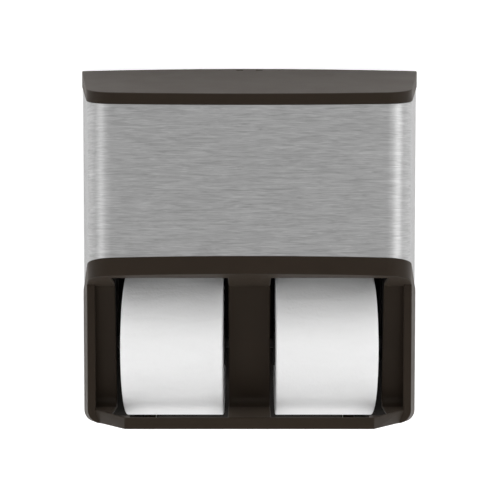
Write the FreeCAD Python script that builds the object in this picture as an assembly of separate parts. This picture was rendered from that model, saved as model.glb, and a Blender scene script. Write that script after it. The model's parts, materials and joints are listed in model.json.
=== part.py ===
import FreeCAD, Part
import math
import os

os.makedirs("parts", exist_ok=True)

# Twin bath tissue dispenser on a wall, millimetres.
# The wall face is y = 0, the front looks along -Y, and z = 0 is the middle of the screw pattern.

# Cover outline in plan
DEPTH = 176.0
HALF_WIDTH = 182.0
FLARE_DEG = 10.0
BOW = 10.0
CORNER_R = 32.0
REAR_GAP = 3.0

# Heights at the front of the cover, and how far each edge rises per millimetre of depth
TOP_Z = 146.4
TOP_RISE = 0.236
CROWN = 2.4
CROWN_FRONT = 0.024
CAP_EDGE_Z = 136.0
CAP_EDGE_RISE = 0.19
BAND_TOP_Z = -4.7
BAND_TOP_RISE = -0.26
BAND_LOW_Z = -21.8
BAND_LOW_RISE = -0.28
BOTTOM_Z = -169.2
BOTTOM_RISE = -0.07
REAR_BOTTOM_RISE = -0.187

# Cover walls
CAP_WALL = 3.0
CAP_ROOF = 3.5
STEEL_SET = 1.0
STEEL_T = 1.0
SKIN_GAP = 0.2
LINER_T = 3.0
BAND_WALL = 3.0
CEILING_T = 3.0
SIDE_WALL = 3.0
SIDE_CORNER_R = 13.0
FIT_GAP = 0.3

# Recess with the two windows, depths measured from the front
RIM_DEPTH = 48.0
RIM_WIDTH = 8.0
PANEL_TOP_DEPTH = 54.0
PANEL_LOW_DEPTH = 70.0
PANEL_T = 3.0
WINDOW_IN_X = 20.6
JAMB_WIDTH = 19.1
CEILING_LIP_DEPTH = 19.0
LIP_DEPTH = 5.0
LIP_T = 3.0
LIP_HEIGHT = 10.7
FACET_RUN = 34.0
FACET_LAP = 0.7
BEVEL_HEIGHT = 12.3
BEVEL_WIDTH = 4.6
SPLIT_ABOVE_BOTTOM = 23.2
LEDGE_R = 12.0
LEDGE_T = 3.0

# Rolls, their cores and plugs, set by the room around them
ROLL_REAR_GAP = 8.0
ROLL_FRONT_GAP = 20.0
ROLL_FLOOR_GAP = 6.5
ROLL_STACK_GAP = 12.4
ROLL_RAIL_GAP = 8.0
ROLL_JAMB_GAP = 8.9
CORE_R = 19.0
CORE_WALL = 1.0
PLUG_FLANGE_R = 24.0
PLUG_FLANGE_T = 1.5
PLUG_INSERT = 15.0
TRUNNION_R = 6.0
SLOT_GAP = 0.5

# Wall plate, rails and their screws
PLATE_T = 4.0
PLATE_SIDE_GAP = 15.0
PLATE_TOP_GAP = 10.0
PLATE_BELOW_HINGE = 3.5
PLATE_CORNER_R = 10.0
PLATE_SWING_GAP = 2.0
SCREW_SPACING_X = 180.0
SCREW_SPACING_Z = 200.0
WALL_HOLE_R = 3.2
RAIL_PANEL_GAP = 5.0
RAIL_SLOT_WALL = 9.5
RAIL_BELOW_ROLL = 17.6
RAIL_ABOVE_ROLL = 34.0
CENTRE_RAIL_HALF_X = 18.0
CENTRE_RAIL_WALL = 3.0
CENTRE_SLOT_DEPTH = 7.0
OUTER_RAIL_GAP = 1.1
OUTER_RAIL_T = 4.0
FLANGE_T = 3.0
FLANGE_WIDTH = 14.0
TAB_HEIGHT = 16.0
TAB_HALF_X = 10.0
SHANK_R = 1.75
SHANK_BITE = 3.0
HEAD_R = 3.6
HEAD_T = 2.2

# Gates under the reserve rolls
GATE_T = 3.0
GATE_GAP = 0.6
GATE_PIVOT_BACK = 22.0
GATE_PIVOT_DROP = 18.0
GATE_BOSS_R = 7.0
GATE_ARM = 6.0
GATE_REACH = 9.0
GATE_TAIL = 40.0
GATE_PIN_R = 2.0
GATE_PIN_HEAD_R = 3.5
GATE_PIN_HEAD_T = 1.5
RUN_GAP = 0.08

# Cover hinge
HINGE_Y = -11.0
HINGE_ABOVE_BOTTOM = 7.0
HINGE_PIN_R = 2.5
BUSH_R = 4.0
KNUCKLE_R = 6.0
LUG_R = 5.5
LUG_IN_FROM_SIDE = 62.0
LUG_WIDTH = 12.0
KNUCKLE_WIDTH = 12.0
FLOOR_REAR_Y = -20.0
FLOOR_STRIP = 20.0
FLOOR_FLANGE = 6.0

# Latch under the cap
LATCH_Y = -13.0
LATCH_T = 4.0
LATCH_BELOW_TOP = 28.0
LATCH_BAR_HEIGHT = 5.0
LATCH_BAR_HALF_X = 19.0
LATCH_TRAVEL = 6.0
HOOK_HALF_X = 3.5
HOOK_HEIGHT = 4.5
KEY_X = 10.6
KEY_WIDTH = 7.0
KEY_SLOT_DEPTH = 6.0
KEY_DOT_X = 32.0
KEY_DOT_R = 1.2
KEY_DOT_DEPTH = 1.0
PRONG_GAP = 1.4
KEEPER_HALF_X = 4.0
KEEPER_T = 2.8
KEEPER_BASE_T = 2.0
KEEPER_BASE_HALF_X = 14.0
KEEPER_CLEAR = 1.5
KEEPER_SCREW_X = 9.0
GUIDE_WALL = 4.5
SPRING_T = 0.8
SPRING_HALF_X = 4.0
SPRING_ROOT_Y = -52.0
SPRING_ROOT_LENGTH = 12.0
SPRING_ROOT_RISE = 6.0

# Reach of cutting shapes, and how near two points count as one
FAR = 400.0
SAME_POINT = 0.01

# Places that follow from the sizes above
TAN_FLARE = math.tan(math.radians(FLARE_DEG))
COS_FLARE = math.cos(math.radians(FLARE_DEG))
LIP_Y = LIP_DEPTH - DEPTH
LIP_TOP_Z = BOTTOM_Z + LIP_HEIGHT
SPLIT_Z = BOTTOM_Z + SPLIT_ABOVE_BOTTOM
RIM_Y = RIM_DEPTH - DEPTH
FACET_END_X = HALF_WIDTH + RIM_Y * TAN_FLARE - RIM_WIDTH / COS_FLARE + FACET_LAP
LIP_STRAIGHT_X = FACET_END_X - FACET_RUN
WINDOW_OUT_X = FACET_END_X - JAMB_WIDTH
SLOT_R = TRUNNION_R + SLOT_GAP
RAIL_FRONT_Y = PANEL_LOW_DEPTH + PANEL_T + RAIL_PANEL_GAP - DEPTH
ROLL_Y = RAIL_FRONT_Y + RAIL_SLOT_WALL + SLOT_R
ROLL_IN_X = CENTRE_RAIL_HALF_X + ROLL_RAIL_GAP
ROLL_OUT_X = WINDOW_OUT_X - ROLL_JAMB_GAP
RIM_BOTTOM_Z = BOTTOM_Z + BOTTOM_RISE * RIM_DEPTH
ROLL_FLOOR_Z = RIM_BOTTOM_Z + REAR_BOTTOM_RISE * (ROLL_Y - RIM_Y) + SIDE_WALL
ROLL_ROOF_Z = TOP_Z + TOP_RISE * (ROLL_Y + DEPTH) - CAP_ROOF
ROLL_PAIR_ROOM = ROLL_ROOF_Z - ROLL_FLOOR_Z - ROLL_FLOOR_GAP - 2 * ROLL_STACK_GAP
ROLL_R = min(-ROLL_Y - ROLL_REAR_GAP, ROLL_Y + DEPTH - ROLL_FRONT_GAP, ROLL_PAIR_ROOM / 4)
ROLL_LOW_Z = ROLL_FLOOR_Z + ROLL_FLOOR_GAP + ROLL_R
ROLL_HIGH_Z = ROLL_LOW_Z + 2 * ROLL_R + ROLL_STACK_GAP
RAIL_LOW_Z = ROLL_LOW_Z - RAIL_BELOW_ROLL
RAIL_HIGH_Z = ROLL_HIGH_Z + RAIL_ABOVE_ROLL
OUTER_RAIL_X = WINDOW_OUT_X + OUTER_RAIL_GAP
GATE_X = OUTER_RAIL_X + OUTER_RAIL_T + GATE_GAP
GATE_PIVOT_Y = ROLL_Y + GATE_PIVOT_BACK
GATE_PIVOT_Z = ROLL_HIGH_Z - GATE_PIVOT_DROP
HINGE_Z = RIM_BOTTOM_Z - REAR_BOTTOM_RISE * RIM_Y + HINGE_ABOVE_BOTTOM
LUG_X = HALF_WIDTH - LUG_IN_FROM_SIDE
TOP_REAR_Z = TOP_Z + TOP_RISE * DEPTH
PLATE_HALF_X = HALF_WIDTH - PLATE_SIDE_GAP
PLATE_LOW_Z = HINGE_Z - PLATE_BELOW_HINGE
PLATE_HIGH_Z = TOP_REAR_Z - PLATE_TOP_GAP
LATCH_BAR_Z = TOP_REAR_Z - LATCH_BELOW_TOP
SPRING_ROOT_Z = LATCH_BAR_Z + SPRING_ROOT_RISE


def vec(x, y, z):
    return FreeCAD.Vector(x, y, z)


def box(x0, x1, y0, y1, z0, z1):
    return Part.makeBox(x1 - x0, y1 - y0, z1 - z0, vec(x0, y0, z0))


def rod_x(radius, x0, x1, y, z):
    return Part.makeCylinder(radius, x1 - x0, vec(x0, y, z), vec(1, 0, 0))


def rod_y(radius, y0, y1, x, z):
    return Part.makeCylinder(radius, y1 - y0, vec(x, y0, z), vec(0, 1, 0))


def fuse(shapes):
    joined = shapes[0]
    for shape in shapes[1:]:
        joined = joined.fuse(shape)
    return joined.removeSplitter()


def mirror(shape):
    return shape.mirror(vec(0, 0, 0), vec(1, 0, 0))


def profile_yz(points, x0, x1):
    """Prism along X from a polygon of (y, z) points."""
    wire = Part.makePolygon([vec(x0, y, z) for y, z in points + points[:1]])
    return Part.Face(wire).extrude(vec(x1 - x0, 0, 0))


def profile_xy(points, z0, z1):
    """Prism along Z from a polygon of (x, y) points."""
    wire = Part.makePolygon([vec(x, y, z0) for x, y in points + points[:1]])
    return Part.Face(wire).extrude(vec(0, 0, z1 - z0))


def sloped(front_z, rise, y):
    """Height of a sloped edge at a given y."""
    return front_z + rise * (y + DEPTH)


def bottom_z(y):
    """Height of the underside, which falls faster behind the rim."""
    return RIM_BOTTOM_Z + BOTTOM_RISE * min(y - RIM_Y, 0) + REAR_BOTTOM_RISE * max(y - RIM_Y, 0)


def between(low_z, low_rise, high_z, high_rise):
    """All that lies between two planes that slope with depth."""
    ends = (-DEPTH - BOW, -REAR_GAP)
    points = [(y, sloped(low_z, low_rise, y)) for y in ends]
    points += [(y, sloped(high_z, high_rise, y)) for y in reversed(ends)]
    return profile_yz(points, -FAR, FAR)


def plan_prism(inset):
    """Cover outline in plan, drawn in by the inset, as a tall prism."""
    half = HALF_WIDTH - inset / COS_FLARE
    nose = HALF_WIDTH - DEPTH * TAN_FLARE
    bow_r = (nose * nose + BOW * BOW) / (2 * BOW)
    radius = bow_r - inset
    centre_y = bow_r - DEPTH
    a = 1 + TAN_FLARE * TAN_FLARE
    b = half * TAN_FLARE - centre_y
    c = half * half + centre_y * centre_y - radius * radius
    corner_y = (-b - math.sqrt(b * b - a * c)) / a
    corner_x = half + corner_y * TAN_FLARE
    left = vec(-corner_x, corner_y, -FAR)
    right = vec(corner_x, corner_y, -FAR)
    front = Part.Arc(left, vec(0, inset - DEPTH, -FAR), right).toShape()
    rest = Part.makePolygon([right, vec(half, 0, -FAR), vec(-half, 0, -FAR), left])
    prism = Part.Face(Part.Wire([front] + rest.Edges)).extrude(vec(0, 0, 2 * FAR))
    corners = []
    for edge in prism.Edges:
        ends = [vertex.Point for vertex in edge.Vertexes]
        upright = abs(ends[0].x - ends[-1].x) + abs(ends[0].y - ends[-1].y) < SAME_POINT
        if upright and abs(ends[0].y - corner_y) < SAME_POINT:
            corners.append(edge)
    return prism.makeFillet(CORNER_R - inset, corners)


def plan_wall(outer, inner):
    return plan_prism(outer).cut(plan_prism(inner))


def under_cap_top(drop):
    """All that lies under the crowned top, lowered by a drop."""
    wires = []
    for y, crown in ((-DEPTH - BOW, CROWN_FRONT), (0.0, CROWN)):
        edge_z = sloped(TOP_Z, TOP_RISE, y) - drop
        left = vec(-HALF_WIDTH, y, edge_z)
        right = vec(HALF_WIDTH, y, edge_z)
        arc = Part.Arc(left, vec(0, y, edge_z + crown), right).toShape()
        low = [vec(HALF_WIDTH, y, 0), vec(-HALF_WIDTH, y, 0)]
        sides = Part.makePolygon([right] + low + [left])
        wires.append(Part.Wire([arc] + sides.Edges))
    return Part.makeLoft(wires, True, True)


def lower_body(inset):
    """Lower body inside its flared sides, sloped floor and rounded lower corners."""
    wires = []
    for y in (-DEPTH, RIM_Y, -REAR_GAP):
        half = HALF_WIDTH + y * TAN_FLARE - inset / COS_FLARE
        low = bottom_z(y) + inset
        r = max(SIDE_CORNER_R - inset, SIDE_WALL)
        k = r * (1 - math.sqrt(0.5))
        top = BAND_TOP_Z
        right_arc = Part.Arc(vec(half, y, low + r), vec(half - k, y, low + k), vec(half - r, y, low))
        left_arc = Part.Arc(vec(r - half, y, low), vec(k - half, y, low + k), vec(-half, y, low + r))
        edges = [
            Part.makeLine(vec(half, y, top), vec(half, y, low + r)),
            right_arc.toShape(),
            Part.makeLine(vec(half - r, y, low), vec(r - half, y, low)),
            left_arc.toShape(),
            Part.makeLine(vec(-half, y, low + r), vec(-half, y, top)),
            Part.makeLine(vec(-half, y, top), vec(half, y, top)),
        ]
        wires.append(Part.Wire(edges))
    return Part.makeLoft(wires, True, True)


def below_band():
    return between(BOTTOM_Z - FAR, 0, BAND_LOW_Z, BAND_LOW_RISE)


def front_cut(inset):
    """Plan of the lower part: straight lip, slanted corners and set-back rims."""
    lip_y = LIP_Y + inset
    rim_y = RIM_Y + inset
    right = [(LIP_STRAIGHT_X, lip_y), (FACET_END_X, rim_y), (HALF_WIDTH, rim_y), (HALF_WIDTH, 0)]
    left = [(-x, y) for x, y in reversed(right)]
    return profile_xy(right + left, -FAR, FAR)


def panel_depth(z):
    """Depth of the recessed panel's face, which leans back towards the bottom."""
    share = (BAND_LOW_Z - z) / (BAND_LOW_Z - LIP_TOP_Z)
    return PANEL_TOP_DEPTH + share * (PANEL_LOW_DEPTH - PANEL_TOP_DEPTH)


def behind_panel(offset, z0, z1):
    """All that lies behind the leaning panel's face, moved back by an offset."""
    points = [(panel_depth(z) + offset - DEPTH, z) for z in (z0, z1)]
    return profile_yz(points + [(FAR, z1), (FAR, z0)], -FAR, FAR)


def panel_sheet():
    """Leaning sheet of the recess, from the lip's height to the band."""
    z0 = LIP_TOP_Z
    z1 = BAND_TOP_Z
    sheet = behind_panel(0, z0, z1).cut(behind_panel(PANEL_T, z0, z1))
    return sheet.common(below_band())


def export(name, shape):
    shape.exportStep("parts/" + name + ".step")


# Cover pieces

def top_cap():
    above_edge = between(CAP_EDGE_Z, CAP_EDGE_RISE, FAR, 0)
    outer = plan_prism(0).common(under_cap_top(0)).common(above_edge)
    hollow = plan_prism(CAP_WALL).common(under_cap_top(CAP_ROOF))
    cap = outer.cut(hollow)
    boss = spring_boss()
    for side in (-1, 1):
        x = side * KEY_X
        slot = box(x - KEY_WIDTH / 2, x + KEY_WIDTH / 2, LATCH_Y - KEY_SLOT_DEPTH / 2,
                   LATCH_Y + KEY_SLOT_DEPTH / 2, CAP_EDGE_Z, FAR)
        cap = cap.cut(slot)
        dot_z = sloped(TOP_Z, TOP_RISE, LATCH_Y) - KEY_DOT_DEPTH
        cap = cap.cut(Part.makeCylinder(KEY_DOT_R, FAR, vec(side * KEY_DOT_X, LATCH_Y, dot_z)))
    return cap.fuse(boss).removeSplitter()


def spring_boss():
    """Post under the cap's roof that holds the root of the latch spring."""
    y1 = SPRING_ROOT_Y + SPRING_ROOT_LENGTH
    z0 = SPRING_ROOT_Z + SPRING_T
    post = box(-SPRING_HALF_X, SPRING_HALF_X, SPRING_ROOT_Y, y1, z0, FAR)
    post = post.common(under_cap_top(CAP_ROOF / 2))
    hole_y = SPRING_ROOT_Y + SPRING_ROOT_LENGTH / 2
    return post.cut(Part.makeCylinder(SHANK_R, SHANK_BITE, vec(0, hole_y, z0)))


def cover_wall(outer, inner):
    middle = between(BAND_TOP_Z, BAND_TOP_RISE, CAP_EDGE_Z, CAP_EDGE_RISE)
    return plan_wall(outer, inner).common(middle)


def steel_panel():
    return cover_wall(STEEL_SET, STEEL_SET + STEEL_T)


def inner_shell():
    """Liner behind the steel, with tongues inside the cap's skirt and the band."""
    outer = STEEL_SET + STEEL_T + SKIN_GAP
    inner = outer + LINER_T
    tongue_out = max(CAP_WALL, BAND_WALL) + SKIN_GAP
    low_z = BAND_LOW_Z + CEILING_T + SKIN_GAP
    tongue = plan_wall(tongue_out, inner)
    tongue = tongue.common(between(low_z, BAND_LOW_RISE, FAR, 0))
    tongue = tongue.common(under_cap_top(CAP_ROOF + SKIN_GAP))
    return fuse([cover_wall(outer, inner), tongue])


def band_bar():
    """Bar under the steel, with the ceiling that overhangs the recess."""
    bar = between(BAND_LOW_Z, BAND_LOW_RISE, BAND_TOP_Z, BAND_TOP_RISE)
    bar = bar.common(plan_wall(0, BAND_WALL))
    rear_y = PANEL_TOP_DEPTH + PANEL_T - DEPTH
    ceiling = between(BAND_LOW_Z, BAND_LOW_RISE, BAND_LOW_Z + CEILING_T, BAND_LOW_RISE)
    ceiling = ceiling.common(plan_prism(0))
    ceiling = ceiling.common(box(-FAR, FAR, -FAR, rear_y, -FAR, FAR))
    for side in (-1, 1):
        xs = sorted((side * WINDOW_IN_X, side * WINDOW_OUT_X))
        ceiling = ceiling.cut(box(xs[0], xs[1], CEILING_LIP_DEPTH - DEPTH, FAR, -FAR, FAR))
    return fuse([bar, ceiling])


def side_cheek():
    """Right lower side wall with its thick front rim."""
    wall = lower_body(0).cut(lower_body(SIDE_WALL))
    rim = lower_body(0).cut(lower_body(RIM_WIDTH))
    rim = rim.cut(behind_panel(PANEL_T, SPLIT_Z - FAR, FAR))
    cheek = fuse([wall, rim]).common(below_band())
    return cheek.common(box(0, FAR, RIM_Y, -REAR_GAP, SPLIT_Z, FAR))


def panel_strip(x0, x1):
    """Upright strip of the recessed panel with the ledge at its foot."""
    strip = panel_sheet().common(box(x0, x1, -FAR, FAR, LIP_TOP_Z, FAR))
    strip = fuse([strip, ledge(x0, x1)])
    return strip.common(lower_body(RIM_WIDTH)).common(front_cut(LIP_T))


def window_jamb():
    """Right strip, between the window and the rim."""
    return panel_strip(WINDOW_OUT_X, HALF_WIDTH)


def centre_divider():
    return panel_strip(-WINDOW_IN_X, WINDOW_IN_X)


def ledge(x0, x1):
    """Shelf from the lip back to the foot of the panel, with a hollow fillet against the panel."""
    foot_y = panel_depth(LIP_TOP_Z) - DEPTH
    shelf = box(x0, x1, LIP_Y, foot_y + PANEL_T, LIP_TOP_Z - LEDGE_T, LIP_TOP_Z)
    fillet = box(x0, x1, foot_y - LEDGE_R, foot_y + PANEL_T, LIP_TOP_Z, LIP_TOP_Z + LEDGE_R)
    fillet = fillet.cut(rod_x(LEDGE_R, x0, x1, foot_y - LEDGE_R, LIP_TOP_Z + LEDGE_R))
    fillet = fillet.cut(behind_panel(0, LIP_TOP_Z, LIP_TOP_Z + LEDGE_R))
    return fuse([shelf, fillet])


def corner_bevel():
    """Wedge cut from under the right slanted corner, from the rim to a point at the lip's end."""
    tip = vec(LIP_STRAIGHT_X, LIP_Y, bottom_z(LIP_Y))
    upper = vec(FACET_END_X, RIM_Y, RIM_BOTTOM_Z + BEVEL_HEIGHT)
    lower = vec(FACET_END_X - BEVEL_WIDTH, RIM_Y, RIM_BOTTOM_Z)
    past_upper = upper + (upper - tip)
    past_lower = lower + (lower - tip)
    outward = (lower - tip).cross(upper - tip).normalize()
    face = Part.Face(Part.makePolygon([tip, past_lower, past_upper, tip]))
    return face.extrude(outward * BEVEL_HEIGHT).common(box(-FAR, FAR, -FAR, RIM_Y, -FAR, FAR))


def floor_openings():
    """Room under the two rolls where the floor is open, so that paper can hang down."""
    rear_y = FLOOR_REAR_Y - FLOOR_STRIP
    opening = box(WINDOW_IN_X, WINDOW_OUT_X, -FAR, rear_y, -FAR, LIP_TOP_Z)
    opening = opening.common(front_cut(LIP_T + FLOOR_FLANGE))
    return Part.makeCompound([opening, mirror(opening)])


def front_lip():
    """Lip across the front with its slanted corners and the floor under it."""
    body = lower_body(0).common(front_cut(0))
    body = body.common(box(-FAR, FAR, -FAR, RIM_Y, -FAR, LIP_TOP_Z))
    lip = body.cut(front_cut(LIP_T))
    floor = body.cut(lower_body(SIDE_WALL)).cut(floor_openings())
    corner = body.cut(lower_body(RIM_WIDTH)).common(box(LIP_STRAIGHT_X, FAR, -FAR, FAR, -FAR, FAR))
    bevel = corner_bevel()
    lip = fuse([lip, floor, corner, mirror(corner)])
    return lip.cut(bevel).cut(mirror(bevel))


def hinge_knuckle():
    """Arm and eye at the back of the floor, on the inner side of the right lug."""
    x1 = LUG_X - LUG_WIDTH / 2 - FIT_GAP
    x0 = x1 - KNUCKLE_WIDTH
    arm_low = bottom_z(FLOOR_REAR_Y) + SIDE_WALL / 2
    arm = box(x0, x1, FLOOR_REAR_Y - KNUCKLE_R, HINGE_Y, arm_low, HINGE_Z + SIDE_WALL / 2)
    eye = rod_x(KNUCKLE_R, x0, x1, HINGE_Y, HINGE_Z)
    return fuse([arm, eye]).cut(rod_x(BUSH_R, x0, x1, HINGE_Y, HINGE_Z))


def bottom_tray():
    """Floor behind the lip, its rounded side corners, the rim's lower ends and the hinge knuckles."""
    body = lower_body(0).common(box(-FAR, FAR, RIM_Y, -REAR_GAP, -FAR, SPLIT_Z))
    swing = PLATE_HALF_X + PLATE_SWING_GAP
    wall = body.cut(lower_body(SIDE_WALL))
    wall = wall.cut(box(-swing, swing, FLOOR_REAR_Y, FAR, -FAR, SPLIT_Z)).cut(floor_openings())
    rim = body.cut(lower_body(RIM_WIDTH)).cut(behind_panel(PANEL_T, -FAR, FAR))
    rim = rim.cut(box(-WINDOW_OUT_X, WINDOW_OUT_X, -FAR, FAR, -FAR, FAR))
    knuckle = hinge_knuckle()
    return fuse([wall, rim, knuckle, mirror(knuckle)])


def hinge_bushes():
    x1 = LUG_X - LUG_WIDTH / 2 - FIT_GAP
    x0 = x1 - KNUCKLE_WIDTH
    bore = rod_x(HINGE_PIN_R + RUN_GAP, x0, x1, HINGE_Y, HINGE_Z)
    bush = rod_x(BUSH_R, x0, x1, HINGE_Y, HINGE_Z).cut(bore)
    return Part.makeCompound([bush, mirror(bush)])


# Latch, its guide and its spring

def latch_bar():
    y0 = LATCH_Y - LATCH_T / 2
    y1 = LATCH_Y + LATCH_T / 2
    bar_top = LATCH_BAR_Z + LATCH_BAR_HEIGHT
    roof_z = sloped(TOP_Z, TOP_RISE, y0) - CAP_ROOF
    prong_top = roof_z - LATCH_TRAVEL - PRONG_GAP
    pieces = [
        box(-LATCH_BAR_HALF_X, LATCH_BAR_HALF_X, y0, y1, LATCH_BAR_Z, bar_top),
        box(-HOOK_HALF_X, HOOK_HALF_X, y0, y1, bar_top, bar_top + HOOK_HEIGHT),
    ]
    for side in (-1, 1):
        x = side * KEY_X
        pieces.append(box(x - KEY_WIDTH / 2, x + KEY_WIDTH / 2, y0, y1, bar_top, prong_top))
    return fuse(pieces)


def latch_guide():
    """Two posts under the cap's roof, each with a groove for one end of the bar."""
    groove_in = LATCH_BAR_HALF_X - GUIDE_WALL / 2
    groove_out = LATCH_BAR_HALF_X + FIT_GAP
    half_y = LATCH_T / 2 + FIT_GAP
    top = LATCH_BAR_Z + LATCH_BAR_HEIGHT + LATCH_TRAVEL + FIT_GAP
    low = LATCH_BAR_Z - FIT_GAP
    post = box(groove_in, groove_out + GUIDE_WALL, LATCH_Y - half_y - GUIDE_WALL / 2,
               LATCH_Y + half_y + GUIDE_WALL / 2, low - GUIDE_WALL, FAR)
    groove = box(groove_in, groove_out, LATCH_Y - half_y, LATCH_Y + half_y, low, top)
    post = post.cut(groove).common(under_cap_top(CAP_ROOF))
    return Part.makeCompound([post, mirror(post)])


def latch_spring():
    """Leaf from the boss under the roof to the underside of the latch bar."""
    root_y = SPRING_ROOT_Y + SPRING_ROOT_LENGTH
    low = LATCH_BAR_Z - FIT_GAP
    tip_y = LATCH_Y + LATCH_T / 2
    knee_y = LATCH_Y - LATCH_T
    path = [(SPRING_ROOT_Y, SPRING_ROOT_Z), (root_y, SPRING_ROOT_Z)]
    path += [(knee_y, low - SPRING_T), (tip_y, low - SPRING_T)]
    upper = [(y, z + SPRING_T) for y, z in reversed(path)]
    leaf = profile_yz(path + upper, -SPRING_HALF_X, SPRING_HALF_X)
    hole_y = SPRING_ROOT_Y + SPRING_ROOT_LENGTH / 2
    return leaf.cut(Part.makeCylinder(SHANK_R, FAR, vec(0, hole_y, 0)))


def spring_screw():
    hole_y = SPRING_ROOT_Y + SPRING_ROOT_LENGTH / 2
    shank = Part.makeCylinder(SHANK_R, SPRING_T + SHANK_BITE, vec(0, hole_y, SPRING_ROOT_Z))
    head = Part.makeCylinder(HEAD_R, HEAD_T, vec(0, hole_y, SPRING_ROOT_Z - HEAD_T))
    return fuse([shank, head])


def keeper_top():
    return LATCH_BAR_Z + LATCH_BAR_HEIGHT + HOOK_HEIGHT + LATCH_TRAVEL + KEEPER_CLEAR


def latch_keeper():
    """Hooked bracket on the wall plate that the raised latch stands behind."""
    roof = keeper_top()
    lip_y1 = LATCH_Y - LATCH_T / 2 - KEEPER_CLEAR
    lip_y0 = lip_y1 - KEEPER_T
    base_y1 = -PLATE_T
    base_y0 = base_y1 - KEEPER_BASE_T
    lip_low = roof - LATCH_TRAVEL
    base_low = LATCH_BAR_Z - LATCH_BAR_HEIGHT
    pieces = [
        box(-KEEPER_BASE_HALF_X, KEEPER_BASE_HALF_X, base_y0, base_y1, base_low, roof),
        box(-KEEPER_HALF_X, KEEPER_HALF_X, lip_y0, base_y1, roof, roof + KEEPER_T),
        box(-KEEPER_HALF_X, KEEPER_HALF_X, lip_y0, lip_y1, lip_low, roof),
    ]
    keeper = fuse(pieces)
    for x in (-KEEPER_SCREW_X, KEEPER_SCREW_X):
        keeper = keeper.cut(rod_y(SHANK_R, base_y0, base_y1, x, LATCH_BAR_Z))
    return keeper


def plate_screw(x, z, seat):
    """Screw into the wall plate, its head on a part of the given thickness."""
    under_head = -PLATE_T - seat
    shank = rod_y(SHANK_R, under_head, SHANK_BITE - PLATE_T, x, z)
    head = rod_y(HEAD_R, under_head - HEAD_T, under_head, x, z)
    return fuse([shank, head])


def keeper_screws():
    spots = (-KEEPER_SCREW_X, KEEPER_SCREW_X)
    return Part.makeCompound([plate_screw(x, LATCH_BAR_Z, KEEPER_BASE_T) for x in spots])


# Wall unit

def rail_screw_spots():
    """Places of the screws through the outer rails' flanges and the centre rail's tabs."""
    flange_x = OUTER_RAIL_X + OUTER_RAIL_T + FLANGE_WIDTH / 2
    middle = (RAIL_LOW_Z + RAIL_HIGH_Z) / 2
    heights = (RAIL_LOW_Z + TAB_HEIGHT, middle, RAIL_HIGH_Z - TAB_HEIGHT)
    spots = [(side * flange_x, z) for side in (-1, 1) for z in heights]
    return spots + [(0, RAIL_LOW_Z - TAB_HEIGHT / 2), (0, RAIL_HIGH_Z + TAB_HEIGHT / 2)]


def back_plate():
    plate = box(-PLATE_HALF_X, PLATE_HALF_X, -PLATE_T, 0, PLATE_LOW_Z, PLATE_HIGH_Z)
    corners = []
    for edge in plate.Edges:
        ends = [vertex.Point for vertex in edge.Vertexes]
        if abs(ends[0].y - ends[1].y) > PLATE_T / 2:
            corners.append(edge)
    plate = plate.makeFillet(PLATE_CORNER_R, corners)
    x0 = LUG_X - LUG_WIDTH / 2
    x1 = LUG_X + LUG_WIDTH / 2
    lug = fuse([rod_x(LUG_R, x0, x1, HINGE_Y, HINGE_Z),
                box(x0, x1, HINGE_Y, 0, HINGE_Z - LUG_R, HINGE_Z + LUG_R)])
    lug = lug.cut(rod_x(HINGE_PIN_R, x0, x1, HINGE_Y, HINGE_Z))
    plate = fuse([plate, lug, mirror(lug)])
    for x in (-SCREW_SPACING_X / 2, SCREW_SPACING_X / 2):
        for z in (-SCREW_SPACING_Z / 2, SCREW_SPACING_Z / 2):
            plate = plate.cut(rod_y(WALL_HOLE_R, -PLATE_T, 0, x, z))
    keeper_spots = [(-KEEPER_SCREW_X, LATCH_BAR_Z), (KEEPER_SCREW_X, LATCH_BAR_Z)]
    for x, z in rail_screw_spots() + keeper_spots:
        plate = plate.cut(rod_y(SHANK_R, -PLATE_T, SHANK_BITE - PLATE_T, x, z))
    return plate


def hinge_pins():
    x0 = LUG_X - LUG_WIDTH / 2 - FIT_GAP - KNUCKLE_WIDTH
    pin = rod_x(HINGE_PIN_R, x0, LUG_X + LUG_WIDTH / 2, HINGE_Y, HINGE_Z)
    return Part.makeCompound([pin, mirror(pin)])


def roll_slot(x0, x1):
    """Slot for a trunnion, closed at the lower roll's place and open at the top."""
    slot = box(x0, x1, ROLL_Y - SLOT_R, ROLL_Y + SLOT_R, ROLL_LOW_Z, RAIL_HIGH_Z)
    return slot.fuse(rod_x(SLOT_R, x0, x1, ROLL_Y, ROLL_LOW_Z))


def centre_rail():
    half = CENTRE_RAIL_HALF_X
    rail = box(-half, half, RAIL_FRONT_Y, -PLATE_T, RAIL_LOW_Z, RAIL_HIGH_Z)
    hollow = half - CENTRE_SLOT_DEPTH - CENTRE_RAIL_WALL
    rail = rail.cut(box(-hollow, hollow, RAIL_FRONT_Y + CENTRE_RAIL_WALL, -PLATE_T - CENTRE_RAIL_WALL,
                        RAIL_LOW_Z + CENTRE_RAIL_WALL, RAIL_HIGH_Z))
    slot = roll_slot(half - CENTRE_SLOT_DEPTH, half)
    rail = rail.cut(slot).cut(mirror(slot))
    tabs = []
    for z0 in (RAIL_LOW_Z - TAB_HEIGHT, RAIL_HIGH_Z):
        tab = box(-TAB_HALF_X, TAB_HALF_X, -PLATE_T - FLANGE_T, -PLATE_T, z0, z0 + TAB_HEIGHT)
        middle = z0 + TAB_HEIGHT / 2
        tabs.append(tab.cut(rod_y(SHANK_R, -PLATE_T - FLANGE_T, -PLATE_T, 0, middle)))
    return fuse([rail] + tabs)


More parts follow.
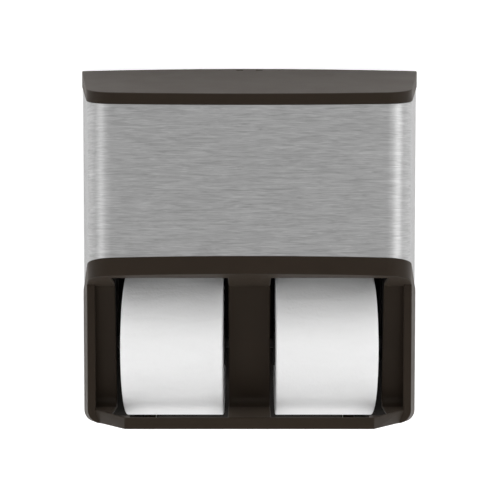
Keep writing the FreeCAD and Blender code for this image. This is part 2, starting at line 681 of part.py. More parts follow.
def outer_rail():
    """Right side rail: a slotted plate with a flange along the wall plate."""
    x0 = OUTER_RAIL_X
    x1 = x0 + OUTER_RAIL_T
    web = box(x0, x1, RAIL_FRONT_Y, -PLATE_T, RAIL_LOW_Z, RAIL_HIGH_Z).cut(roll_slot(x0, x1))
    web = web.cut(rod_x(GATE_PIN_R, x0, x1, GATE_PIVOT_Y, GATE_PIVOT_Z))
    flange = box(x1, x1 + FLANGE_WIDTH, -PLATE_T - FLANGE_T, -PLATE_T, RAIL_LOW_Z, RAIL_HIGH_Z)
    rail = fuse([web, flange])
    for x, z in rail_screw_spots():
        if x > x1:
            rail = rail.cut(rod_y(SHANK_R, -PLATE_T - FLANGE_T, -PLATE_T, x, z))
    return rail


def rail_screws():
    return Part.makeCompound([plate_screw(x, z, FLANGE_T) for x, z in rail_screw_spots()])


def gate():
    """Right gate: an arm under the reserve trunnion and a tail to push, on one pivot."""
    x0 = GATE_X
    x1 = x0 + GATE_T
    arm_top = ROLL_HIGH_Z - TRUNNION_R - FIT_GAP
    tip_y = ROLL_Y - GATE_REACH
    arm = profile_yz([(tip_y, arm_top), (GATE_PIVOT_Y, arm_top), (GATE_PIVOT_Y, arm_top - 2 * GATE_ARM),
                      (tip_y, arm_top - GATE_ARM)], x0, x1)
    half = GATE_ARM / 2
    tail = box(x0, x1, GATE_PIVOT_Y - half, GATE_PIVOT_Y + half, GATE_PIVOT_Z - GATE_TAIL, GATE_PIVOT_Z)
    boss = rod_x(GATE_BOSS_R, x0, x1, GATE_PIVOT_Y, GATE_PIVOT_Z)
    lever = fuse([arm, tail, boss])
    return lever.cut(rod_x(GATE_PIN_R + RUN_GAP, x0, x1, GATE_PIVOT_Y, GATE_PIVOT_Z))


def gate_pins():
    x1 = GATE_X + GATE_T + FIT_GAP
    shank = rod_x(GATE_PIN_R, OUTER_RAIL_X, x1, GATE_PIVOT_Y, GATE_PIVOT_Z)
    head = rod_x(GATE_PIN_HEAD_R, x1, x1 + GATE_PIN_HEAD_T, GATE_PIVOT_Y, GATE_PIVOT_Z)
    pin = fuse([shank, head])
    return Part.makeCompound([pin, mirror(pin)])


# Rolls

def roll_paper(z):
    wound = rod_x(ROLL_R, ROLL_IN_X, ROLL_OUT_X, ROLL_Y, z)
    return wound.cut(rod_x(CORE_R, ROLL_IN_X, ROLL_OUT_X, ROLL_Y, z))


def roll_core(z):
    tube = rod_x(CORE_R, ROLL_IN_X, ROLL_OUT_X, ROLL_Y, z)
    return tube.cut(rod_x(CORE_R - CORE_WALL, ROLL_IN_X, ROLL_OUT_X, ROLL_Y, z))


def core_plugs(z):
    """Pair of plugs pushed into the core, with the trunnions that ride in the rails."""
    bore = CORE_R - CORE_WALL
    inner_end = CENTRE_RAIL_HALF_X - CENTRE_SLOT_DEPTH + PLUG_FLANGE_T
    outer_end = GATE_X + GATE_T
    plugs = []
    for face, inward, end in ((ROLL_IN_X, 1, inner_end), (ROLL_OUT_X, -1, outer_end)):
        deep = sorted((face, face + inward * PLUG_INSERT))
        rim = sorted((face, face - inward * PLUG_FLANGE_T))
        stub = sorted((face, end))
        plugs.append(fuse([
            rod_x(bore, deep[0], deep[1], ROLL_Y, z),
            rod_x(PLUG_FLANGE_R, rim[0], rim[1], ROLL_Y, z),
            rod_x(TRUNNION_R, stub[0], stub[1], ROLL_Y, z),
        ]))
    return Part.makeCompound(plugs)


def export_pair(name, right):
    export(name + "_right", right)
    export(name + "_left", mirror(right))


def export_rolls():
    for level, z in (("lower", ROLL_LOW_Z), ("reserve", ROLL_HIGH_Z)):
        export_pair(level + "_paper", roll_paper(z))
        export_pair(level + "_core", roll_core(z))
        export_pair(level + "_plugs", core_plugs(z))


export("back_plate", back_plate())
export("centre_rail", centre_rail())
export_pair("outer_rail", outer_rail())
export("rail_screws", rail_screws())
export("gate_pins", gate_pins())
export("latch_keeper", latch_keeper())
export("keeper_screws", keeper_screws())
export("hinge_pins", hinge_pins())
export("top_cap", top_cap())
export("steel_panel", steel_panel())
export("inner_shell", inner_shell())
export("band_bar", band_bar())
export_pair("side_cheek", side_cheek())
export_pair("window_jamb", window_jamb())
export("centre_divider", centre_divider())
export("front_lip", front_lip())
export("bottom_tray", bottom_tray())
export("hinge_bushes", hinge_bushes())
export("latch_guide", latch_guide())
export("latch_spring", latch_spring())
export("spring_screw", spring_screw())
export("latch_bar", latch_bar())
export_pair("gate", gate())
export_rolls()
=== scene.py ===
import json
import math

import bpy
from bpy.props import FloatProperty, FloatVectorProperty, IntProperty, PointerProperty
from bpy.types import Operator, Panel, PropertyGroup
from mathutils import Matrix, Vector, noise
from mathutils.bvhtree import BVHTree


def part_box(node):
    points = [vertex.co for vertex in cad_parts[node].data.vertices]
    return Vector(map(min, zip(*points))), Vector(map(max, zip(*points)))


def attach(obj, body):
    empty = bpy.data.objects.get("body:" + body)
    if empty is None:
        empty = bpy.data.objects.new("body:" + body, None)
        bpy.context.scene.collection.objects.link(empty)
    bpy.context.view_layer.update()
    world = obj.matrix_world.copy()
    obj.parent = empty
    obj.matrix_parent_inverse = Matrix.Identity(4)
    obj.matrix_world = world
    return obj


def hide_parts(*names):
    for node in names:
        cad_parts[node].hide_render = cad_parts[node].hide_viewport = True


bl_info = {
    "name": "Twin Tissue Dispenser",
    "version": (1, 0, 0),
    "blender": (4, 5, 0),
    "location": "View3D > Sidebar > Dispenser",
    "description": "Dresses the twin bath tissue dispenser: moulded shells, brushed sheet, "
                   "paper rolls and stage",
    "category": "Object",
}

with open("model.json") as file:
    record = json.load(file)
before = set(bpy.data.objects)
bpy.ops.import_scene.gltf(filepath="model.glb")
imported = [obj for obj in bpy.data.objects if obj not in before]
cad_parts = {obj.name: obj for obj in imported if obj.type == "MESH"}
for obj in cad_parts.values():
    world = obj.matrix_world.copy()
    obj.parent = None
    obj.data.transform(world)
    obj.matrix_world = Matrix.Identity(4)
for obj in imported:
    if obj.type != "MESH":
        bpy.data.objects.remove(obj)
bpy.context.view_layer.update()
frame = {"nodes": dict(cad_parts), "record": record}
SIDES = ("left", "right")
LEVELS = ("lower", "reserve")

# Faces that are flat to within this angle are merged; the cap's crown keeps its facets
FLAT_DEGREES = 0.6
CROWN_FLAT_DEGREES = 0.05
# Edges sharper than this are rounded, and those sharper than the next stay crisp in the shading
CREASE_DEGREES = 28.0
SHADE_DEGREES = 38.0
ROLL_SHADE_DEGREES = 40.0
EDGE_SEGMENTS = 3
WELD_REACH = 0.00001
RING_WELD_REACH = 0.00002
# An edge this close to another solid lies on it, if it does so at each of these shares of its length
SEAM_REACH = 0.00006
SEAM_SHARES = (0.1, 0.5, 0.9)

# Wrinkles of the wound paper: cells per metre along and across the axis, and where the last turn ends
WRINKLES_ALONG = 9.0
WRINKLES_ACROSS = 34.0
FINE_WRINKLES = 2.3
LAST_TURN = 0.35

CAMERA_LENS = 80.06
CAMERA_SENSOR = 36.0
CAMERA_PLACE = (0.0006, -1.216, 0.048)
CAMERA_DIP_DEGREES = 2.6
BACKDROP_SIZE = 4.0
BACKDROP_LIFT = 0.5
WORLD_STRENGTH = 0.5


def length_property(name, description, default):
    return FloatProperty(name=name, description=description, default=default, min=0.0, unit="LENGTH")


def colour_property(name, description, default):
    return FloatVectorProperty(
        name=name, description=description, default=default, size=3, min=0.0, max=1.0, subtype="COLOR")


class DispenserSizes(PropertyGroup):
    """Sizes of the dressed pieces."""

    moulded_edge: length_property(
        "Moulded edge", "Radius on the edges of the dark mouldings", 0.0011)
    sheet_edge: length_property(
        "Sheet edge", "Radius on the edges of the brushed sheet", 0.00025)
    works_edge: length_property(
        "Works edge", "Radius on the edges of the rails, plate and levers", 0.0005)
    roll_turns: IntProperty(
        name="Roll facets", description="Steps around a paper roll", default=160, min=32)
    roll_rows: IntProperty(
        name="Roll rows", description="Steps along a paper roll", default=72, min=8)
    roll_rim: length_property(
        "Roll rim", "Soft rounding where a roll's end face meets its side", 0.0012)
    core_gap: length_property(
        "Core gap", "Room between the paper and its core tube", 0.00005)
    layer_step: length_property(
        "Layer step", "Step where the last turn of paper ends", 0.0003)
    wrinkle: length_property(
        "Wrinkle", "Height of the soft wrinkles in the outer paper layer", 0.00035)
    recess_length: length_property(
        "Recess length", "Length of each bar of a screw's cross recess", 0.0042)
    recess_width: length_property(
        "Recess width", "Width of each bar of a screw's cross recess", 0.0009)
    recess_depth: length_property(
        "Recess depth", "Depth of a screw's cross recess", 0.0013)


class DispenserColours(PropertyGroup):
    """Colours of the finishes."""

    moulding: colour_property(
        "Moulding", "Warm dark plastic of the cap, band and surround", (0.0168, 0.0112, 0.0072))
    sheet: colour_property(
        "Sheet", "Brushed steel", (0.6, 0.6, 0.6))
    paper: colour_property(
        "Paper", "Bath tissue", (0.82, 0.82, 0.82))
    board: colour_property(
        "Board", "Core tube", (0.34, 0.24, 0.15))
    # Near black, partly the plastic's own colour and partly painted shade, so the plate and rails behind the
    # windows read as a shaded, black interior
    works: colour_property(
        "Works", "Plastic of the plate and rails", (0.011, 0.011, 0.0115))
    lever: colour_property(
        "Levers", "Plastic of the gates and latch", (0.18, 0.19, 0.21))
    plug: colour_property(
        "Plugs", "Plastic of the core plugs", (0.03, 0.03, 0.032))
    bush: colour_property(
        "Bushes", "Plastic of the hinge sleeves", (0.7, 0.7, 0.66))
    plating: colour_property(
        "Plating", "Zinc on the screws, pins and keeper", (0.58, 0.58, 0.56))
    backdrop: colour_property(
        "Backdrop", "Wall and floor", (0.9, 0.9, 0.9))


def sizes():
    return bpy.context.scene.dispenser_sizes


def colours():
    return bpy.context.scene.dispenser_colours


# Working with objects

def pick(obj):
    """Deselects everything else and makes one object active."""
    bpy.ops.object.select_all(action="DESELECT")
    obj.select_set(True)
    bpy.context.view_layer.objects.active = obj


def apply_modifier(obj, kind, **values):
    pick(obj)
    modifier = obj.modifiers.new(kind.title(), kind)
    for key, value in values.items():
        setattr(modifier, key, value)
    bpy.ops.object.modifier_apply(modifier=modifier.name)


def smooth(obj, degrees):
    pick(obj)
    bpy.ops.object.shade_smooth_by_angle(angle=math.radians(degrees))


def dress(obj, material):
    obj.data.materials.clear()
    obj.data.materials.append(material)


def solid_copy(node, name):
    """A copy of a solid's mesh with its loose triangles merged."""
    obj = bpy.data.objects.new(name, frame["nodes"][node].data.copy())
    bpy.context.scene.collection.objects.link(obj)
    pick(obj)
    bpy.ops.object.mode_set(mode="EDIT")
    bpy.ops.mesh.select_all(action="SELECT")
    bpy.ops.mesh.customdata_custom_splitnormals_clear()
    bpy.ops.mesh.remove_doubles(threshold=WELD_REACH)
    bpy.ops.object.mode_set(mode="OBJECT")
    return obj


def surface_tree(node):
    """Search tree of a solid's surface, to find where other pieces meet it."""
    mesh = frame["nodes"][node].data
    places = [vertex.co for vertex in mesh.vertices]
    return BVHTree.FromPolygons(places, [face.vertices for face in mesh.polygons])


def on_seam(start, end, trees):
    """Whether an edge lies on another solid's surface along its whole length."""
    points = [start.lerp(end, share) for share in SEAM_SHARES]
    for tree in trees:
        if all(tree.find_nearest(point, SEAM_REACH)[0] is not None for point in points):
            return True
    return False


def round_edges(obj, radius, flat_degrees, trees):
    """Merges flat faces and rounds the sharp edges, except where the piece meets its neighbours."""
    pick(obj)
    bpy.ops.object.mode_set(mode="EDIT")
    bpy.ops.mesh.select_all(action="SELECT")
    bpy.ops.mesh.dissolve_limited(angle_limit=math.radians(flat_degrees))
    bpy.ops.mesh.vert_connect_concave()
    bpy.ops.mesh.select_mode(type="EDGE")
    bpy.ops.mesh.select_all(action="DESELECT")
    bpy.ops.mesh.edges_select_sharp(sharpness=math.radians(CREASE_DEGREES))
    bpy.ops.object.mode_set(mode="OBJECT")
    vertices = obj.data.vertices
    # A face that stays selected would select its edges again in edit mode
    obj.data.polygons.foreach_set("select", [False] * len(obj.data.polygons))
    for edge in obj.data.edges:
        start, end = (vertices[index].co for index in edge.vertices)
        if edge.select and on_seam(start, end, trees):
            edge.select = False
    bpy.ops.object.mode_set(mode="EDIT")
    bpy.ops.transform.edge_bevelweight(value=1.0)
    bpy.ops.mesh.select_mode(type="VERT")
    bpy.ops.object.mode_set(mode="OBJECT")
    apply_modifier(obj, "BEVEL", width=radius, segments=EDGE_SEGMENTS, limit_method="WEIGHT",
                   use_clamp_overlap=False, miter_outer="MITER_SHARP", loop_slide=True)
    smooth(obj, SHADE_DEGREES)
    apply_modifier(obj, "WEIGHTED_NORMAL", mode="FACE_AREA", weight=50, keep_sharp=True)


def rounded_copy(node, name, radius, flat_degrees=FLAT_DEGREES, trees=()):
    """A copy of one solid with its edges rounded, ready for a finish."""
    obj = solid_copy(node, name)
    round_edges(obj, radius, flat_degrees, trees)
    return obj


def stand_in_for(obj, slot, *nodes):
    """Lets a piece stand for its solids and move with the same body."""
    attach(obj, node_body(nodes[0]))
    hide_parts(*nodes)


def nodes_in_slot(slot):
    return [entry["node"] for entry in frame["record"]["subparts"] if entry["material_slot"] == slot]


def node_body(node):
    for body, members in frame["record"]["behaviour"]["bodies"].items():
        if node in members:
            return body
    raise ValueError("no body holds " + node)


# Finishes

def new_material(name):
    material = bpy.data.materials.new(name)
    material.use_nodes = True
    nodes = material.node_tree.nodes
    return material, nodes, material.node_tree.links, nodes["Principled BSDF"]


def add(nodes, kind, **values):
    """A node with its properties and its inputs set by name."""
    node = nodes.new(kind)
    for key, value in values.items():
        if key in node.inputs:
            node.inputs[key].default_value = value
        else:
            setattr(node, key, value)
    return node


def set_inputs(node, **values):
    """Sets inputs by name, with an underscore for each space."""
    for key, value in values.items():
        node.inputs[key.replace("_", " ")].default_value = value


def new_group(name, inputs, outputs):
    """A shader node group with named sockets, each given as (name, socket type, default)."""
    group = bpy.data.node_groups.new(name, "ShaderNodeTree")
    for label, kind, default in inputs:
        group.interface.new_socket(label, in_out="INPUT", socket_type=kind).default_value = default
    for label, kind in outputs:
        group.interface.new_socket(label, in_out="OUTPUT", socket_type=kind)
    return group, add(group.nodes, "NodeGroupInput"), add(group.nodes, "NodeGroupOutput")


def stretched_noise_group():
    """Noise on a place, stretched along each axis: streaks, folds, fibres or mottling."""
    group, given, result = new_group(
        "stretched_noise",
        (("Place", "NodeSocketVector", (0.0, 0.0, 0.0)), ("Stretch", "NodeSocketVector", (1.0, 1.0, 1.0)),
         ("Detail", "NodeSocketFloat", 3.0), ("Roughness", "NodeSocketFloat", 0.6),
         ("Waviness", "NodeSocketFloat", 0.0)),
        (("Value", "NodeSocketFloat"),))
    scaled = add(group.nodes, "ShaderNodeVectorMath", operation="MULTIPLY")
    grain = add(group.nodes, "ShaderNodeTexNoise", Scale=1.0)
    group.links.new(given.outputs["Place"], scaled.inputs[0])
    group.links.new(given.outputs["Stretch"], scaled.inputs[1])
    group.links.new(scaled.outputs["Vector"], grain.inputs["Vector"])
    group.links.new(given.outputs["Detail"], grain.inputs["Detail"])
    group.links.new(given.outputs["Roughness"], grain.inputs["Roughness"])
    group.links.new(given.outputs["Waviness"], grain.inputs["Distortion"])
    group.links.new(grain.outputs["Fac"], result.inputs["Value"])
    return group


def tinted_group():
    """A colour that a mask makes a little darker or lighter."""
    group, given, result = new_group(
        "tinted",
        (("Colour", "NodeSocketColor", (0.5, 0.5, 0.5, 1.0)), ("Mask", "NodeSocketFloat", 0.5),
         ("Spread", "NodeSocketFloat", 0.1)),
        (("Colour", "NodeSocketColor"),))
    centred = add(group.nodes, "ShaderNodeMath", operation="SUBTRACT")
    centred.inputs[1].default_value = 0.5
    swing = add(group.nodes, "ShaderNodeMath", operation="MULTIPLY_ADD")
    swing.inputs[2].default_value = 1.0
    shade = add(group.nodes, "ShaderNodeVectorMath", operation="SCALE")
    group.links.new(given.outputs["Mask"], centred.inputs[0])
    group.links.new(centred.outputs["Value"], swing.inputs[0])
    group.links.new(given.outputs["Spread"], swing.inputs[1])
    group.links.new(given.outputs["Colour"], shade.inputs[0])
    group.links.new(swing.outputs["Value"], shade.inputs["Scale"])
    group.links.new(shade.outputs["Vector"], result.inputs["Colour"])
    return group


GROUPS = {"stretched_noise": stretched_noise_group, "tinted": tinted_group}


def placed_group(nodes, name, **values):
    """A shared node group placed in a material with its own values; it is built on first use."""
    group = bpy.data.node_groups.get(name) or GROUPS[name]()
    holder = nodes.new("ShaderNodeGroup")
    holder.node_tree = group
    set_inputs(holder, **values)
    return holder


def noise_mask(nodes, links, place, stretch, detail=3.0, roughness=0.6, waviness=0.0):
    mask = placed_group(nodes, "stretched_noise", Stretch=stretch, Detail=detail, Roughness=roughness,
                        Waviness=waviness)
    links.new(place, mask.inputs["Place"])
    return mask.outputs["Value"]


def tint(nodes, links, surface, colour, mask, spread):
    """Drives the surface's colour by a mask."""
    tinted = placed_group(nodes, "tinted", Colour=(*colour, 1.0), Spread=spread)
    links.new(mask, tinted.inputs["Mask"])
    links.new(tinted.outputs["Colour"], surface.inputs["Base Color"])


def to_range(nodes, links, source, low, high):
    remap = add(nodes, "ShaderNodeMapRange")
    set_inputs(remap, To_Min=low, To_Max=high)
    links.new(source, remap.inputs["Value"])
    return remap.outputs["Result"]


def bumped(nodes, links, height, strength, distance, below=None):
    """A bump, laid over another one where that is given."""
    bump = add(nodes, "ShaderNodeBump", Strength=strength, Distance=distance)
    links.new(height, bump.inputs["Height"])
    if below is not None:
        links.new(below, bump.inputs["Normal"])
    return bump.outputs["Normal"]


def object_place(nodes):
    return add(nodes, "ShaderNodeTexCoord").outputs["Object"]


def moulded_plastic(name, colour, roughness, gloss=0.5, sheen=0.0):
    """Satin moulding with a fine spark-eroded grain and faint flow marks."""
    material, nodes, links, surface = new_material(name)
    place = object_place(nodes)
    grain = noise_mask(nodes, links, place, (1900.0, 1900.0, 1900.0), 2.0)
    flow = noise_mask(nodes, links, place, (26.0, 26.0, 34.0), 3.0, 0.55, 0.4)
    tint(nodes, links, surface, colour, flow, 0.3)
    links.new(to_range(nodes, links, flow, roughness - 0.05, roughness + 0.06), surface.inputs["Roughness"])
    set_inputs(surface, Specular_IOR_Level=gloss, Specular_Tint=(1.0, 0.9, 0.8, 1.0),
               Sheen_Weight=sheen, Sheen_Tint=(1.0, 0.84, 0.68, 1.0))
    links.new(bumped(nodes, links, grain, 0.35, 0.00006), surface.inputs["Normal"])
    return material


def brushed_sheet(colour):
    """Steel brushed along the sheet, with short wavy streaks that lie level on the front and the sides."""
    material, nodes, links, surface = new_material("brushed_sheet")
    place = object_place(nodes)
    hairs = noise_mask(nodes, links, place, (55.0, 55.0, 1500.0), 4.0, 0.7)
    waves = noise_mask(nodes, links, place, (42.0, 42.0, 520.0), 3.0, 0.6, 1.1)
    streaks = add(nodes, "ShaderNodeMath", operation="MULTIPLY_ADD")
    hair_share = 0.45
    streaks.inputs[1].default_value = hair_share
    links.new(hairs, streaks.inputs[0])
    rest = add(nodes, "ShaderNodeMath", operation="MULTIPLY")
    rest.inputs[1].default_value = 1.0 - hair_share
    links.new(waves, rest.inputs[0])
    links.new(rest.outputs["Value"], streaks.inputs[2])
    tint(nodes, links, surface, colour, streaks.outputs["Value"], 1.5)
    links.new(to_range(nodes, links, waves, 0.27, 0.39), surface.inputs["Roughness"])
    set_inputs(surface, Metallic=1.0, Anisotropic=0.6)
    tangent = add(nodes, "ShaderNodeTangent", direction_type="RADIAL", axis="Z")
    links.new(tangent.outputs["Tangent"], surface.inputs["Tangent"])
    links.new(bumped(nodes, links, streaks.outputs["Value"], 0.14, 0.00004), surface.inputs["Normal"])
    return material


def tissue_paper(name, colour, centre):
    """Soft paper with small embossed dimples, faint wrinkles and wound layers at the ends."""
    material, nodes, links, surface = new_material(name)
    place = object_place(nodes)
    fibres = noise_mask(nodes, links, place, (2600.0, 2600.0, 2600.0), 3.0, 0.7)
    folds = noise_mask(nodes, links, place, (16.0, 60.0, 60.0), 3.0, 0.55, 0.6)
    tint(nodes, links, surface, colour, folds, 0.07)
    set_inputs(surface, Roughness=0.92, Specular_IOR_Level=0.2, Sheen_Weight=0.25,
               Subsurface_Weight=0.85, Subsurface_Radius=(1.0, 1.0, 1.0), Subsurface_Scale=0.008)
    dimples = add(nodes, "ShaderNodeTexVoronoi", Scale=420.0, feature="SMOOTH_F1")
    links.new(place, dimples.inputs["Vector"])
    axis = add(nodes, "ShaderNodeMapping", Location=(0.0, -centre.y, -centre.z))
    layers = add(nodes, "ShaderNodeTexWave", wave_type="RINGS", rings_direction="X", Scale=330.0,
                 Distortion=3.0, Detail=2.0)
    links.new(place, axis.inputs["Vector"])
    links.new(axis.outputs["Vector"], layers.inputs["Vector"])
    normal = bumped(nodes, links, fibres, 0.25, 0.0002)
    normal = bumped(nodes, links, dimples.outputs["Distance"], 0.3, 0.0005, normal)
    normal = bumped(nodes, links, folds, 0.6, 0.0016, normal)
    normal = bumped(nodes, links, layers.outputs["Fac"], 0.3, 0.0004, normal)
    links.new(normal, surface.inputs["Normal"])
    return material


def core_board(colour):
    """Plain grey-brown board, rolled into a tube."""
    material, nodes, links, surface = new_material("core_board")
    place = object_place(nodes)
    grain = noise_mask(nodes, links, place, (60.0, 400.0, 400.0), 4.0)
    tint(nodes, links, surface, colour, grain, 0.35)
    set_inputs(surface, Roughness=0.85)
    links.new(bumped(nodes, links, grain, 0.3, 0.0001), surface.inputs["Normal"])
    return material


def plated_steel(colour):
    """Zinc plating with a faint haze."""
    material, nodes, links, surface = new_material("plated_steel")
    haze = noise_mask(nodes, links, object_place(nodes), (240.0, 240.0, 240.0))
    tint(nodes, links, surface, colour, haze, 0.2)
    set_inputs(surface, Metallic=1.0)
    links.new(to_range(nodes, links, haze, 0.22, 0.42), surface.inputs["Roughness"])
    return material


# Operators

LOWER_SURROUND = (
    "bottom_tray", "side_cheek_left", "side_cheek_right", "front_lip",
    "window_jamb_left", "window_jamb_right", "centre_divider",
)


class DISPENSER_OT_mouldings(Operator):
    """Rounds and finishes the cap, the bar and the surround below, whose pieces read as one moulding"""

    bl_idname = "dispenser.mouldings"
    bl_label = "Cover mouldings"

    def execute(self, context):
        finish = moulded_plastic("satin_moulding", colours().moulding, roughness=0.5, gloss=0.22, sheen=0.06)
        trees = {node: surface_tree(node) for node in LOWER_SURROUND + ("band_bar",)}
        for node in nodes_in_slot("dark_plastic"):
            flat = CROWN_FLAT_DEGREES if node == "top_cap" else FLAT_DEGREES
            met = []
            if node in LOWER_SURROUND:
                met = [tree for other, tree in trees.items() if other != node]
            piece = rounded_copy(node, node + "_moulded", sizes().moulded_edge, flat, met)
            dress(piece, finish)
            stand_in_for(piece, "dark_plastic", node)
        return {"FINISHED"}


class DISPENSER_OT_sheet(Operator):
    """Finishes the brushed steel sheet"""

    bl_idname = "dispenser.sheet"
    bl_label = "Brushed sheet"

    def execute(self, context):
        piece = rounded_copy("steel_panel", "brushed_steel_sheet", sizes().sheet_edge)
        dress(piece, brushed_sheet(colours().sheet))
        stand_in_for(piece, "brushed_panel", "steel_panel")
        return {"FINISHED"}


def roll_profile(low_x, high_x, core, radius, rows):
    """Half section of a roll, from the core at one end face, over the rim, to the core at the other."""
    rim = sizes().roll_rim
    points = [(low_x, core), (low_x, (core + radius) / 2), (low_x, radius - rim)]
    points.append((low_x + rim * 0.3, radius - rim * 0.3))
    for row in range(rows + 1):
        points.append((low_x + rim + (high_x - low_x - 2 * rim) * row / rows, radius))
    mirrored = [(low_x + high_x - x, r) for x, r in points[:4]]
    return points + mirrored[::-1]


def turned_ring(name, profile, centre, steps):
    """A ring turned about a level axis from a half section of (x, radius) points."""
    bpy.ops.object.select_all(action="DESELECT")
    first_x, first_r = profile[0]
    bpy.ops.mesh.primitive_plane_add(size=0.001, location=(first_x, centre.y, centre.z + first_r))
    ring = bpy.context.active_object
    ring.name = name
    bpy.ops.object.transform_apply(location=True)
    bpy.ops.object.mode_set(mode="EDIT")
    bpy.ops.mesh.select_all(action="SELECT")
    bpy.ops.mesh.merge(type="CENTER")
    for (x0, r0), (x1, r1) in zip(profile, profile[1:]):
        bpy.ops.mesh.extrude_region_move(TRANSFORM_OT_translate={"value": (x1 - x0, 0.0, r1 - r0)})
    bpy.ops.mesh.select_all(action="SELECT")
    bpy.ops.mesh.spin(steps=steps, angle=2 * math.pi, center=centre, axis=(1, 0, 0))
    bpy.ops.mesh.select_all(action="SELECT")
    bpy.ops.mesh.remove_doubles(threshold=RING_WELD_REACH)
    bpy.ops.mesh.normals_make_consistent(inside=False)
    bpy.ops.object.mode_set(mode="OBJECT")
    return ring


def wind_paper(roll, centre, core, radius):
    """Gives a ring the step of its last turn and the soft wrinkles of loosely wound paper."""
    step = sizes().layer_step
    wrinkle = sizes().wrinkle
    for vertex in roll.data.vertices:
        y = vertex.co.y - centre.y
        z = vertex.co.z - centre.z
        r = math.hypot(y, z)
        share = max(r - core, 0.0) / (radius - core)
        turn = (math.atan2(z, -y) / (2 * math.pi) + LAST_TURN) % 1.0
        place = Vector((vertex.co.x * WRINKLES_ALONG, y * WRINKLES_ACROSS, z * WRINKLES_ACROSS))
        soft = noise.noise(place) + 0.5 * noise.noise(place * FINE_WRINKLES)
        shrink = (step * turn + wrinkle * (1.0 + soft) * 0.5) * share
        vertex.co.y = centre.y + y * (r - shrink) / r
        vertex.co.z = centre.z + z * (r - shrink) / r


class DISPENSER_OT_rolls(Operator):
    """Turns the paper rolls and winds their outer layer"""

    bl_idname = "dispenser.rolls"
    bl_label = "Paper rolls"

    def execute(self, context):
        for level in LEVELS:
            low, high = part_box(level + "_paper_left")
            tissue = tissue_paper(level + "_tissue", colours().paper, (low + high) / 2)
            for side in SIDES:
                node = level + "_paper_" + side
                low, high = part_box(node)
                centre = (low + high) / 2
                radius = (high.z - low.z) / 2
                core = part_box(level + "_core_" + side)[1].z - centre.z + sizes().core_gap
                profile = roll_profile(low.x, high.x, core, radius, sizes().roll_rows)
                roll = turned_ring(node + "_wound", profile, centre, sizes().roll_turns)
                wind_paper(roll, centre, core, radius)
                smooth(roll, ROLL_SHADE_DEGREES)
                dress(roll, tissue)
                stand_in_for(roll, "tissue", node)
        return {"FINISHED"}


class DISPENSER_OT_works(Operator):
    """Rounds and finishes the plate, rails, gates, latch and plugs behind the cover"""

    bl_idname = "dispenser.works"
    bl_label = "Works behind the cover"

    def execute(self, context):
        finishes = {
            # The liner and wall plastic take the near-black works colour, which is partly painted shade for
            # the interior behind the windows
            "liner_plastic": moulded_plastic("liner_moulding", colours().works, 0.5),
            "wall_plastic": moulded_plastic("wall_moulding", colours().works, 0.55),
            "lever_plastic": moulded_plastic("lever_moulding", colours().lever, 0.4),
            "bush_plastic": moulded_plastic("bush_moulding", colours().bush, 0.4),
            "plug_plastic": moulded_plastic("plug_moulding", colours().plug, 0.45),
        }
        for slot, finish in finishes.items():
            for node in nodes_in_slot(slot):
                piece = rounded_copy(node, node + "_moulded", sizes().works_edge)
                dress(piece, finish)
                stand_in_for(piece, slot, node)
        board = core_board(colours().board)
        for node in nodes_in_slot("core_board"):
            dress(frame["nodes"][node], board)
        return {"FINISHED"}


def cut_cross(screw, axis):
    """Cuts a cross recess into the head of a screw; the head is at the low end of the axis."""
    corners = [vertex.co for vertex in screw.data.vertices]
    low = Vector([min(co[i] for co in corners) for i in range(3)])
    high = Vector([max(co[i] for co in corners) for i in range(3)])
    place = (low + high) / 2
    place[axis] = low[axis]
    for across in range(3):
        if across == axis:
            continue
        reach = [sizes().recess_width] * 3
        reach[across] = sizes().recess_length
        reach[axis] = 2 * sizes().recess_depth
        bpy.ops.object.select_all(action="DESELECT")
        bpy.ops.mesh.primitive_cube_add(size=1.0, location=place, scale=reach)
        bar = bpy.context.active_object
        bpy.ops.object.transform_apply(location=True, scale=True)
        apply_modifier(screw, "BOOLEAN", operation="DIFFERENCE", solver="EXACT", object=bar)
        bpy.data.objects.remove(bar)


SCREW_AXES = {"rail_screws": 1, "keeper_screws": 1, "spring_screw": 2}


class DISPENSER_OT_fasteners(Operator):
    """Finishes the screws, pins, keeper and spring"""

    bl_idname = "dispenser.fasteners"
    bl_label = "Fasteners"

    def execute(self, context):
        finish = plated_steel(colours().plating)
        for node in nodes_in_slot("bright_steel"):
            if node == "latch_spring":
                dress(frame["nodes"][node], finish)
                continue
            piece = rounded_copy(node, node + "_plated", sizes().works_edge)
            if node in SCREW_AXES:
                self.recess(piece, SCREW_AXES[node])
            dress(piece, finish)
            stand_in_for(piece, "bright_steel", node)
        return {"FINISHED"}

    def recess(self, group, axis):
        """Gives every screw of a group its cross recess."""
        pick(group)
        bpy.ops.mesh.separate(type="LOOSE")
        screws = list(bpy.context.selected_objects)
        for screw in screws:
            cut_cross(screw, axis)
        if len(screws) > 1:
            pick(group)
            for screw in screws:
                screw.select_set(True)
            bpy.ops.object.join()


class DISPENSER_OT_stage(Operator):
    """Sets the camera, the soft lights, the wall behind and the floor"""

    bl_idname = "dispenser.stage"
    bl_label = "Stage"

    def execute(self, context):
        scene = context.scene
        scene.view_settings.view_transform = "Standard"
        camera_data = bpy.data.cameras.new("photo_camera")
        camera_data.lens = CAMERA_LENS
        camera_data.sensor_width = CAMERA_SENSOR
        camera = bpy.data.objects.new("photo_camera", camera_data)
        camera.location = CAMERA_PLACE
        camera.rotation_euler = (math.radians(90.0 - CAMERA_DIP_DEGREES), 0.0, 0.0)
        scene.collection.objects.link(camera)
        scene.camera = camera
        build_backdrop()
        build_lights(scene)
        return {"FINISHED"}


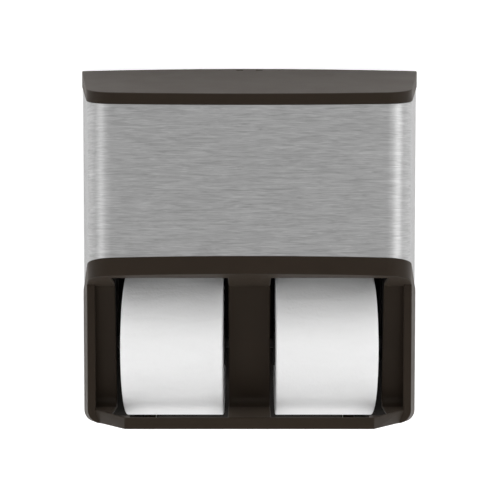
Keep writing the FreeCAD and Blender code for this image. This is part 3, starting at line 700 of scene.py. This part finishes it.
def backdrop_material():
    """Pale wall that the camera sees near white, and that doesn't show from behind."""
    material, nodes, links, surface = new_material("pale_backdrop")
    set_inputs(surface, Base_Color=(*colours().backdrop, 1.0), Roughness=0.9)
    path = add(nodes, "ShaderNodeLightPath")
    glow = add(nodes, "ShaderNodeEmission")
    lift = add(nodes, "ShaderNodeMath", operation="MULTIPLY")
    lift.inputs[1].default_value = BACKDROP_LIFT
    links.new(path.outputs["Is Camera Ray"], lift.inputs[0])
    links.new(lift.outputs["Value"], glow.inputs["Strength"])
    both = add(nodes, "ShaderNodeAddShader")
    links.new(surface.outputs["BSDF"], both.inputs[0])
    links.new(glow.outputs["Emission"], both.inputs[1])
    clear = add(nodes, "ShaderNodeBsdfTransparent")
    side = add(nodes, "ShaderNodeNewGeometry")
    mix = add(nodes, "ShaderNodeMixShader")
    links.new(side.outputs["Backfacing"], mix.inputs["Fac"])
    links.new(both.outputs["Shader"], mix.inputs[1])
    links.new(clear.outputs["BSDF"], mix.inputs[2])
    links.new(mix.outputs["Shader"], nodes["Material Output"].inputs["Surface"])
    return material


def build_backdrop():
    material = backdrop_material()
    planes = (
        ("backdrop_wall", (0, 0.001, 0.2), (math.pi / 2, 0, 0)),
        ("pale_floor", (0, -1.0, -0.62), (0, 0, 0)),
    )
    for name, place, turn in planes:
        bpy.ops.object.select_all(action="DESELECT")
        bpy.ops.mesh.primitive_plane_add(size=BACKDROP_SIZE, location=place, rotation=turn)
        plane = bpy.context.active_object
        plane.name = name
        bpy.ops.object.transform_apply(location=True, rotation=True)
        dress(plane, material)


def soft_light(name, place, target, width, height, power, reflected=True):
    data = bpy.data.lights.new(name, "AREA")
    data.shape = "RECTANGLE"
    data.size = width
    data.size_y = height
    data.energy = power
    light = bpy.data.objects.new(name, data)
    light.location = place
    light.rotation_euler = (Vector(target) - Vector(place)).to_track_quat("-Z", "Y").to_euler()
    light.visible_glossy = reflected
    bpy.context.scene.collection.objects.link(light)


def build_lights(scene):
    aim = (0.0, -0.08, 0.0)
    soft_light("left_softbox", (-1.55, -0.85, 0.05), aim, 0.7, 1.4, 2.2)
    soft_light("right_softbox", (1.55, -0.85, 0.05), aim, 0.7, 1.4, 3.6)
    soft_light("top_softbox", (0.0, -0.6, 1.3), aim, 1.2, 0.7, 6.0)
    soft_light("front_fill", (0.0, -1.15, -0.48), (0.0, -0.1, -0.14), 1.3, 0.4, 4.0, reflected=False)
    soft_light("level_fill", (0.0, -1.3, -0.02), (0.0, -0.1, -0.16), 1.3, 0.14, 1.1, reflected=False)
    world = bpy.data.worlds.new("studio_world")
    world.use_nodes = True
    set_inputs(world.node_tree.nodes["Background"], Color=(1.0, 1.0, 1.0, 1.0), Strength=WORLD_STRENGTH)
    scene.world = world


class DISPENSER_PT_panel(Panel):
    """Lists the steps that dress the dispenser"""

    bl_idname = "DISPENSER_PT_panel"
    bl_label = "Dispenser"
    bl_space_type = "VIEW_3D"
    bl_region_type = "UI"
    bl_category = "Dispenser"

    def draw(self, context):
        for step in STEPS:
            self.layout.operator(step.bl_idname)
        for group in (context.scene.dispenser_sizes, context.scene.dispenser_colours):
            for key in group.__annotations__:
                self.layout.prop(group, key)


STEPS = (
    DISPENSER_OT_mouldings,
    DISPENSER_OT_sheet,
    DISPENSER_OT_rolls,
    DISPENSER_OT_works,
    DISPENSER_OT_fasteners,
    DISPENSER_OT_stage,
)
CLASSES = (DispenserSizes, DispenserColours) + STEPS + (DISPENSER_PT_panel,)


def register():
    for cls in CLASSES:
        bpy.utils.register_class(cls)
    bpy.types.Scene.dispenser_sizes = PointerProperty(type=DispenserSizes)
    bpy.types.Scene.dispenser_colours = PointerProperty(type=DispenserColours)


def unregister():
    del bpy.types.Scene.dispenser_colours
    del bpy.types.Scene.dispenser_sizes
    for cls in reversed(CLASSES):
        bpy.utils.unregister_class(cls)


def main():
    register()
    bpy.ops.dispenser.mouldings()
    bpy.ops.dispenser.sheet()
    bpy.ops.dispenser.rolls()
    bpy.ops.dispenser.works()
    bpy.ops.dispenser.fasteners()
    bpy.ops.dispenser.stage()


if __name__ == "__main__":
    main()
